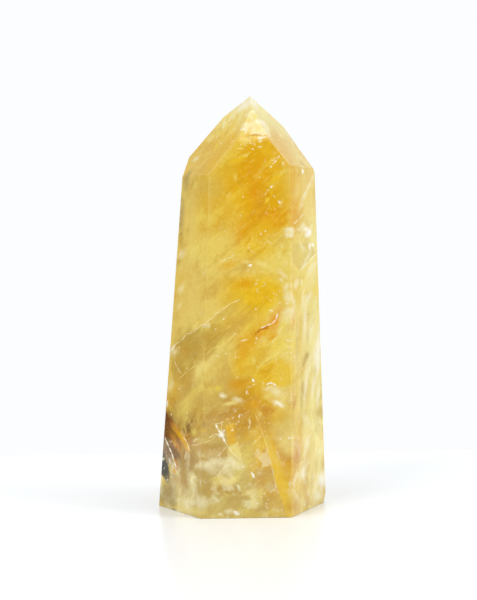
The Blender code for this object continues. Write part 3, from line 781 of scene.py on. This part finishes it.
class Stone:
    """The solid stone, asked where a pixel of the photograph lies on it."""

    def __init__(self, node):
        self.node = node
        self.triangles = [triangle for triangle in node.data.polygons if triangle.area > SMALL_TRIANGLE]

    def sight_line(self, at):
        """The way from the camera through a pixel."""
        return CAMERA_AXES @ Vector((
            (at[0] - PHOTO_WIDTH / 2) * PIXEL_SLOPE,
            (PHOTO_HEIGHT / 2 - at[1]) * PIXEL_SLOPE,
            -1.0,
        )).normalized()

    def under_pixel(self, at):
        """The point of the stone that a pixel shows, and the way its face looks."""
        hit, place, normal, _ = self.node.ray_cast(CAMERA_PLACE, self.sight_line(at))
        if not hit:
            raise ValueError(f"pixel {at} misses the stone")
        face = max(self.triangles, key=lambda triangle: triangle.normal.dot(normal))
        return place, face.normal.copy()

    def lens_on_face(self, mark):
        """The lens under a face that looks as a mark says from the camera.

        Returns its place, the ways that its face and its length point, its length and its width.
        """
        place, normal = self.under_pixel((mark.x, mark.y))
        sight = (place - CAMERA_PLACE).normalized()

        def cast(direction):
            """A direction in the picture, laid on the face along the line of sight."""
            direction = CAMERA_AXES @ direction
            return direction - sight * (direction.dot(normal) / sight.dot(normal))

        angle = math.radians(mark.tilt)
        first = cast(Vector((math.cos(angle), math.sin(angle), 0.0))) * mark.long * MM
        second = cast(Vector((-math.sin(angle), math.cos(angle), 0.0))) * mark.wide * MM
        turn = math.atan2(2 * first.dot(second), first.length_squared - second.length_squared) / 2
        long = first * math.cos(turn) + second * math.sin(turn)
        wide = second * math.cos(turn) - first * math.sin(turn)
        return place, normal, long.normalized(), long.length, wide.length

    def on_one_face(self, corners):
        """Points on the face under the middle of some pixels, or on its plane, and the way it looks."""
        middle = [sum(values) / len(corners) for values in zip(*corners)]
        place, normal = self.under_pixel(middle)
        sight_lines = [self.sight_line(corner) for corner in corners]
        reach = (place - CAMERA_PLACE).dot(normal)
        return [CAMERA_PLACE + line * (reach / line.dot(normal)) for line in sight_lines], normal

    def facets(self):
        """The stone's flat faces, largest first: the way each looks, and its middle."""
        sums = {}
        for triangle in self.triangles:
            key = tuple(round(value, 2) for value in triangle.normal)
            normal, middle, area = sums.get(key, (Vector(), Vector(), 0.0))
            sums[key] = (
                normal + triangle.normal * triangle.area,
                middle + triangle.center * triangle.area,
                area + triangle.area,
            )
        large = [facet for facet in sums.values() if facet[2] > SMALL_FACET]
        large.sort(key=lambda facet: -facet[2])
        return [(normal.normalized(), middle / area) for normal, middle, area in large]

    def hidden_facets(self, mirroring):
        """Each face that the photograph doesn't show, with the map to a face that it does.

        A mirroring map goes to the face in front of it, and the other kind to the face opposite.
        """
        shown, hidden = [], []
        for normal, middle in self.facets():
            if normal.z > -0.5:          # the base is left out
                (shown if normal.dot(CAMERA_PLACE - middle) > 0 else hidden).append((normal, middle))
        maps = []
        for normal, middle in hidden:
            across = Vector((normal.x if mirroring else -normal.x, -normal.y, normal.z))
            partner, partner_middle = max(shown, key=lambda facet: facet[0].dot(across))
            turn = face_frame(partner, -1.0 if mirroring else 1.0) @ face_frame(normal, 1.0).transposed()
            shift = partner_middle - turn @ middle
            if mirroring:
                shift += face_frame(partner, 1.0).col[1] * MIRROR_SLIDE
            maps.append((normal, turn, shift))
        return maps


def face_frame(normal, side):
    """The level, upward and outward directions of a face, as a matrix's columns; side -1 mirrors it."""
    level = Vector((0.0, 0.0, 1.0)).cross(normal).normalized()
    return Matrix((level * side, normal.cross(level), normal)).transposed()


def new_group(name, inputs, output):
    """An empty node group's graph, and its input sockets by name."""
    tree = bpy.data.node_groups.new(name, "ShaderNodeTree")
    for socket_name, kind in inputs.items():
        tree.interface.new_socket(name=socket_name, in_out="INPUT", socket_type=f"NodeSocket{kind}")
    tree.interface.new_socket(name="Result", in_out="OUTPUT", socket_type=f"NodeSocket{output}")
    graph = Graph(tree)
    return graph, graph.node("NodeGroupInput").outputs


def close_group(graph, result):
    graph.feed(graph.node("NodeGroupOutput").inputs[0], result)
    return graph.tree


def make_lens_group():
    """Puts a lens-shaped patch of a tint over a colour."""
    inputs = {
        "Under": "Color", "Where": "Vector", "Centre": "Vector", "Along": "Vector", "Shorten": "Vector",
        "Core": "Float", "Rim": "Float", "Strength": "Float", "Tint": "Color",
    }
    graph, given = new_group("lens", inputs, "Color")
    apart = graph.vector("SUBTRACT", given["Where"], given["Centre"])
    lengthwise = graph.vector("PROJECT", apart, given["Along"])
    rounded = graph.vector("MULTIPLY_ADD", lengthwise, given["Shorten"], apart)
    out = graph.vector("LENGTH", rounded)
    amount = graph.fade(out, given["Core"], given["Rim"], low=given["Strength"], high=0.0)
    return close_group(graph, graph.mix(amount, given["Under"], given["Tint"]))


def make_edge_group():
    """Cuts an amount off along a straight edge, which fades over a short way."""
    inputs = {"Amount": "Float", "Where": "Vector", "Inward": "Vector", "From": "Float", "To": "Float"}
    graph, given = new_group("edge", inputs, "Float")
    level = graph.vector("DOT_PRODUCT", given["Where"], given["Inward"])
    kept = graph.fade(level, given["From"], given["To"])
    return close_group(graph, graph.number("MULTIPLY", given["Amount"], kept))


def make_carry_group(stone, mirroring):
    """Takes a place under a hidden face to a face that the photograph shows, to wear the same marks."""
    name = "mirrored" if mirroring else "opposite"
    graph, given = new_group(name, {"Where": "Vector", "Outward": "Vector"}, "Vector")
    scale = (1.0, -1.0, 1.0) if mirroring else (1.0, 1.0, 1.0)
    flip = Matrix.Diagonal(scale)
    place = given["Where"]
    for normal, turn, shift in stone.hidden_facets(mirroring):
        mapped = graph.node("ShaderNodeMapping")
        graph.feed(mapped.inputs["Vector"], given["Where"])
        graph.feed(mapped.inputs["Scale"], scale)
        graph.feed(mapped.inputs["Rotation"], (turn @ flip).to_euler())
        graph.feed(mapped.inputs["Location"], shift)
        facing = graph.vector("DOT_PRODUCT", given["Outward"], normal)
        on_face = graph.number("GREATER_THAN", facing, SAME_FACE)
        place = graph.choose(on_face, place, mapped.outputs["Vector"])
    return close_group(graph, place)


class Painter:
    """Lays marks, shards and painted face light over the stone's colour."""

    def __init__(self, graph, stone):
        self.graph = graph
        self.stone = stone
        self.lens = make_lens_group()
        self.edge = make_edge_group()

    def marks(self, colour, where, depth, marks):
        """A colour with marks over it, each at a depth under its face."""
        for count, mark in enumerate(marks):
            if count % STRETCH == 0:
                where = self.graph.later(where, colour)
            place, normal, along, long, wide = self.stone.lens_on_face(mark)
            shorten = wide / long - 1.0
            colour = self.graph.use(
                self.lens, Under=colour, Where=where, Centre=place - normal * depth, Along=along,
                Shorten=(shorten, shorten, shorten), Core=wide / 2 * (1.0 - mark.soft), Rim=wide / 2,
                Strength=mark.strength, Tint=mark.tint,
            )
        return colour

    def shards(self, colour, where, depth, shards):
        """A colour with shards over it, each at a depth under its face."""
        where = self.graph.later(where, colour)
        for shard in shards:
            corners, normal = self.stone.on_one_face(shard.corners)
            corners = [corner - normal * depth for corner in corners]
            middle = sum(corners, Vector()) / len(corners)
            back = middle.dot(normal) - SHARD_THICKNESS
            amount = self.cut(shard.strength, where, normal, back, back + SHARD_THICKNESS / 2)
            for start, end, soft in zip(corners, corners[1:] + corners[:1], shard.soft):
                inward = (end - start).cross(normal).normalized()
                if (middle - start).dot(inward) < 0:
                    inward = -inward
                edge = start.dot(inward)
                half = soft / 2 * MM
                amount = self.cut(amount, where, inward, edge - half, edge + half)
            colour = self.graph.mix(amount, colour, shard.tint)
        return colour

    def cut(self, amount, where, inward, start, end):
        """An amount that is kept only beyond a straight edge, which fades from start to end."""
        return self.graph.use(self.edge, Amount=amount, Where=where, Inward=inward, From=start, To=end)

    def painted_face_light(self, colour, outward, painted_face_light):
        """A colour with whole faces tinted paler or darker: painted light."""
        for lit_face in painted_face_light:
            _, normal = self.stone.under_pixel(lit_face.at)
            facing = self.graph.vector("DOT_PRODUCT", outward, normal)
            amount = self.graph.fade(facing, start=FACE_LIGHT_START, end=FACE_LIGHT_FULL, high=lit_face.strength)
            colour = self.graph.mix(amount, colour, lit_face.tint)
        return colour


def crack_marks(cracks):
    """The marks that a list of cracks is made of, one for each straight run."""
    pixel = PIXEL_SLOPE * CAMERA_PLACE.length / MM       # in millimetres, at the stone
    for crack in cracks:
        for start, end in zip(crack.path, crack.path[1:]):
            across, upward = end[0] - start[0], start[1] - end[1]
            long = math.hypot(across, upward) * pixel * CRACK_OVERLAP
            tilt = math.degrees(math.atan2(upward, across))
            x, y = (start[0] + end[0]) / 2, (start[1] + end[1]) / 2
            yield Mark(x, y, long, crack.wide, tilt, crack.tint, crack.strength, CRACK_SOFTNESS)


class StoneGraph(Graph):
    """The graph of the stone's material, which draws in places a little under the faces."""

    def __init__(self, tree):
        super().__init__(tree)
        self.place = self.node("ShaderNodeTexCoord").outputs["Object"]
        self.outward = self.node("ShaderNodeNewGeometry").outputs["True Normal"]
        self.height = self.vector("DOT_PRODUCT", self.place, (0.0, 0.0, 1.0))

    def under_face(self, depth):
        """The place straight under the face at a depth."""
        return self.vector("SUBTRACT", self.place, self.scaled(self.outward, depth))

    def pushed(self, where, noise, reach):
        """A place moved along its face by coloured noise."""
        offset = self.vector("SUBTRACT", noise.outputs["Color"], (0.5, 0.5, 0.5))
        through = self.vector("PROJECT", offset, self.outward)
        along = self.vector("SUBTRACT", offset, through)
        return self.vector("ADD", where, self.scaled(along, reach))


def make_streaks(graph, where):
    """Veils, shades and threads that rise to the right, as the stone's healed fractures do."""
    mapping = graph.node("ShaderNodeMapping", vector_type="TEXTURE")
    graph.feed(mapping.inputs["Vector"], where)
    graph.feed(mapping.inputs["Rotation"], (0.0, -STREAK_SLOPE, 0.0))
    graph.feed(mapping.inputs["Scale"], STREAK_STRETCH)
    slanted = mapping.outputs["Vector"]
    veils = graph.patchy(slanted, 5 * MM, start=0.50, end=0.72, high=0.5, detail=5.0, roughness=0.65)
    shades = graph.patchy(slanted, 6.5 * MM, start=0.50, end=0.30, high=0.5, detail=5.0, roughness=0.65)
    ridge = graph.noise(slanted, 4 * MM).outputs["Fac"]
    off_ridge = graph.number("ABSOLUTE", graph.number("SUBTRACT", ridge, 0.5))
    threads = graph.fade(off_ridge, start=0.018, end=0.0, high=0.25)
    gate = graph.patchy(where, 9 * MM, start=0.50, end=0.62, high=0.55)
    return veils, shades, graph.number("MULTIPLY", threads, gate)


def make_blocks(graph, where):
    """Pale and dark blocks between fractures, plainest in the foot."""
    block, _ = graph.cells(where, 7 * MM)
    plainness = graph.fade(graph.height, start=75 * MM, end=25 * MM, low=0.18, high=0.75)
    pale = graph.number("MULTIPLY", graph.fade(block, start=0.55, end=1.0, high=0.5), plainness)
    dark = graph.number("MULTIPLY", graph.fade(block, start=0.45, end=0.0, high=0.5), plainness)
    return pale, dark


def make_glinting_flaws(graph, where):
    """Tiny flaws in a few of many small cells, painted bright: painted glints where they catch the light.
    """
    cell, from_middle = graph.cells(where, 2.6 * MM)
    spots = graph.fade(from_middle, start=0.16, end=0.04, high=0.85)
    return graph.number("MULTIPLY", spots, graph.fade(cell, start=0.86, end=0.92))


def make_crumbs(graph, creased, ruffled):
    """Crowds of crumb-sized flaws, which are few at the stone's upper left."""
    rightward = graph.vector("DOT_PRODUCT", graph.place, (1.0, 0.0, -0.35))
    liveliness = graph.fade(rightward, start=-44 * MM, end=-28 * MM, low=0.15, high=1.0)
    at_tip = graph.fade(graph.height, start=108 * MM, end=120 * MM)
    liveliness = graph.number("MAXIMUM", liveliness, at_tip)
    crumb = graph.noise(creased, 0.9 * MM, detail=2.0, roughness=0.6).outputs["Fac"]
    crumbs = graph.fade(crumb, start=0.60, end=0.70, high=0.65)
    crumbs = graph.number("MULTIPLY", crumbs, graph.patchy(ruffled, 8 * MM, start=0.50, end=0.64))
    return graph.number("MULTIPLY", crumbs, liveliness)


def make_quartz_look(stone):
    """Golden healer quartz: honey and rusty clouds, pale veils and bright cracks in milky stone."""
    material = bpy.data.materials.new("golden_quartz_look")
    material.use_nodes = True
    graph = StoneGraph(material.node_tree)
    painter = Painter(graph, stone)
    mirrored = make_carry_group(stone, mirroring=True)
    opposite = make_carry_group(stone, mirroring=False)

    # Places under the faces, disturbed in broad swirls, in ruffles and in small creases.
    shallow = graph.under_face(FLAW_DEPTH)
    inner = graph.under_face(CLOUD_DEPTH)
    swirl = graph.noise(inner, 12 * MM, detail=5.0, roughness=0.62)
    ruffle = graph.noise(shallow, 4 * MM, detail=4.0, roughness=0.65)
    crease = graph.noise(shallow, 2.5 * MM, detail=3.0, roughness=0.6)
    swirled = graph.pushed(inner, swirl, 9 * MM)
    ruffled = graph.pushed(shallow, ruffle, 2.2 * MM)
    creased = graph.pushed(shallow, crease, 0.8 * MM)

    # What is the same kind of pattern all over the stone.
    colour = graph.mix(graph.patchy(swirled, 24 * MM, start=0.52, end=0.68), STRAW, GOLD)
    veils, shades, threads = make_streaks(graph, ruffled)
    pale_blocks, dark_blocks = make_blocks(graph, creased)
    mottle = graph.noise(shallow, 1.1 * MM, detail=4.0, roughness=0.7).outputs["Fac"]
    pale_mottle = graph.fade(mottle, start=0.50, end=0.80, high=0.5)
    dark_mottle = graph.fade(mottle, start=0.50, end=0.22, high=0.36)
    glinting_flaws = make_glinting_flaws(graph, creased)
    crumbs = make_crumbs(graph, creased, ruffled)

    # The very end of the tip is pale, with few shades, and the foot is milky.
    uneven_height = graph.number("MULTIPLY_ADD", swirl.outputs["Fac"], 16 * MM, graph.height)
    tip_paleness = graph.fade(uneven_height, start=131 * MM, end=146 * MM, high=0.95)
    off_tip = graph.fade(uneven_height, start=122 * MM, end=136 * MM, low=1.0, high=0.2)
    shades = graph.number("MULTIPLY", shades, off_tip)
    milkiness = graph.fade(graph.height, start=36 * MM, end=14 * MM, high=0.55)

    # The marks' own places come last, so that their long chain is worked out in one go.
    fray = graph.noise(creased, 1.0 * MM, detail=2.0)
    swirled = graph.use(mirrored, Where=graph.pushed(swirled, fray, 1.5 * MM), Outward=graph.outward)
    ruffled = graph.use(mirrored, Where=graph.pushed(ruffled, fray, 0.9 * MM), Outward=graph.outward)
    creased = graph.use(opposite, Where=graph.pushed(creased, fray, 0.15 * MM), Outward=graph.outward)
    shallow = graph.use(opposite, Where=shallow, Outward=graph.outward)

    colour = painter.marks(colour, swirled, CLOUD_DEPTH, ZONES)
    colour = painter.marks(colour, swirled, CLOUD_DEPTH, BROAD_CLOUDS)
    colour = graph.mix(pale_blocks, colour, LIGHTENED, "SCREEN")
    colour = graph.mix(dark_blocks, colour, DEEPENED, "MULTIPLY")
    milk = graph.patchy(creased, 5 * MM, start=0.50, end=0.61, detail=5.0, roughness=0.6)
    colour = graph.mix(graph.number("MULTIPLY", milk, milkiness), colour, CREAM)
    colour = graph.mix(tip_paleness, colour, IVORY)
    # Painted light: whole tip faces made paler.
    colour = painter.painted_face_light(colour, graph.outward, PAINTED_FACE_LIGHT)
    colour = painter.shards(colour, creased, FLAW_DEPTH, SHARDS)
    colour = graph.mix(shades, colour, DEEPENED, "MULTIPLY")
    colour = graph.mix(veils, colour, LIGHTENED, "SCREEN")
    colour = painter.marks(colour, ruffled, FLAW_DEPTH, CHUNKS)
    colour = graph.mix(threads, colour, CREAM)
    colour = graph.mix(crumbs, colour, MILK)
    colour = graph.mix(dark_mottle, colour, DEEPENED, "MULTIPLY")
    colour = graph.mix(pale_mottle, colour, LIGHTENED, "SCREEN")
    colour = painter.marks(colour, creased, FLAW_DEPTH, crack_marks(CRACKS))
    # Painted glints of tiny flaws.
    colour = graph.mix(glinting_flaws, colour, MILK)
    # Painted glints, and a few dark flecks.
    colour = painter.marks(colour, shallow, FLAW_DEPTH, GLINTS_AND_FLECKS)

    surface = material.node_tree.nodes["Principled BSDF"]
    graph.feed(surface.inputs["Base Color"], colour)
    surface.inputs["Roughness"].default_value = QUARTZ_ROUGHNESS
    surface.inputs["IOR"].default_value = QUARTZ_IOR
    surface.inputs["Transmission Weight"].default_value = CLEAR_SHARE
    absorption = graph.node("ShaderNodeVolumeAbsorption")
    absorption.inputs["Color"].default_value = DEPTH_TINT
    absorption.inputs["Density"].default_value = DEPTH_DENSITY
    output = material.node_tree.nodes["Material Output"]
    graph.feed(output.inputs["Volume"], absorption.outputs["Volume"])
    return material


def add_to_scene(name, data):
    """A new object that shows some data."""
    thing = bpy.data.objects.new(name, data)
    bpy.context.scene.collection.objects.link(thing)
    return thing


def make_camera():
    data = bpy.data.cameras.new("camera")
    data.sensor_fit = "VERTICAL"
    data.angle = VIEW_ANGLE
    data.clip_start = 10 * MM
    camera = add_to_scene("camera", data)
    camera.location = CAMERA_PLACE
    camera.rotation_euler = CAMERA_ROTATION
    bpy.context.scene.camera = camera


def make_table():
    """The plain pale table, whose back edge shows behind the stone."""
    material = bpy.data.materials.new("table_white")
    material.use_nodes = True
    surface = material.node_tree.nodes["Principled BSDF"]
    surface.inputs["Base Color"].default_value = TABLE_WHITE
    surface.inputs["Roughness"].default_value = TABLE_ROUGHNESS
    mesh = bpy.data.meshes.new("table")
    corners = (
        (-TABLE_HALF_WIDTH, TABLE_FRONT_EDGE, 0.0),
        (TABLE_HALF_WIDTH, TABLE_FRONT_EDGE, 0.0),
        (TABLE_HALF_WIDTH, TABLE_BACK_EDGE, 0.0),
        (-TABLE_HALF_WIDTH, TABLE_BACK_EDGE, 0.0),
    )
    mesh.from_pydata(corners, [], [(0, 1, 2, 3)])
    mesh.materials.append(material)
    table = add_to_scene("table", mesh)


def make_lamp(lamp):
    data = bpy.data.lights.new(lamp.name, "AREA")
    data.shape = "SQUARE"
    data.size = lamp.side
    data.energy = lamp.power
    light = add_to_scene(lamp.name, data)
    light.location = lamp.place
    aim = Vector((0.0, 0.0, lamp.target_height)) - Vector(lamp.place)
    light.rotation_euler = aim.to_track_quat("-Z", "Y").to_euler()


def make_world():
    """A white room, with the dark parts that the stone's polished faces mirror."""
    world = bpy.data.worlds.new("studio")
    bpy.context.scene.world = world
    world.use_nodes = True
    graph = Graph(world.node_tree)
    direction = graph.node("ShaderNodeTexCoord").outputs["Generated"]
    colour = ROOM_WHITE
    for dark in DARK_PARTS:
        nearness = graph.vector("DOT_PRODUCT", direction, Vector(dark.towards).normalized())
        rim = math.cos(math.radians(dark.rim))
        core = math.cos(math.radians(dark.core))
        colour = graph.mix(graph.fade(nearness, start=rim, end=core), colour, dark.tint)
    seen_directly = graph.node("ShaderNodeLightPath").outputs["Is Camera Ray"]
    colour = graph.mix(seen_directly, colour, ROOM_WHITE)
    graph.feed(world.node_tree.nodes["Background"].inputs["Color"], colour)


def limit_bounces():
    """Light bounces only a few times, as more of it hardly shows in the cloudy stone."""
    light_paths = bpy.context.scene.cycles
    light_paths.max_bounces = 4
    light_paths.diffuse_bounces = 2
    light_paths.glossy_bounces = 2
    light_paths.transmission_bounces = 2


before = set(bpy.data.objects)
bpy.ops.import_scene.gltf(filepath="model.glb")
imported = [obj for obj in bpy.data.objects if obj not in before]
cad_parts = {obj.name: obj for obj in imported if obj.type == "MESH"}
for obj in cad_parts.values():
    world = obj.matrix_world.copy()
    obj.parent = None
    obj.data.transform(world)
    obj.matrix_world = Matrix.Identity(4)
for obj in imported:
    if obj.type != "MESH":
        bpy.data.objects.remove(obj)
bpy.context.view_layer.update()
make_camera()
make_table()
make_world()
for lamp in LAMPS:
    make_lamp(lamp)
bpy.context.scene.view_settings.view_transform = "Standard"
limit_bounces()

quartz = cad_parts["quartz_point"]
look = make_quartz_look(Stone(quartz))
quartz.data.materials.clear()
quartz.data.materials.append(look)
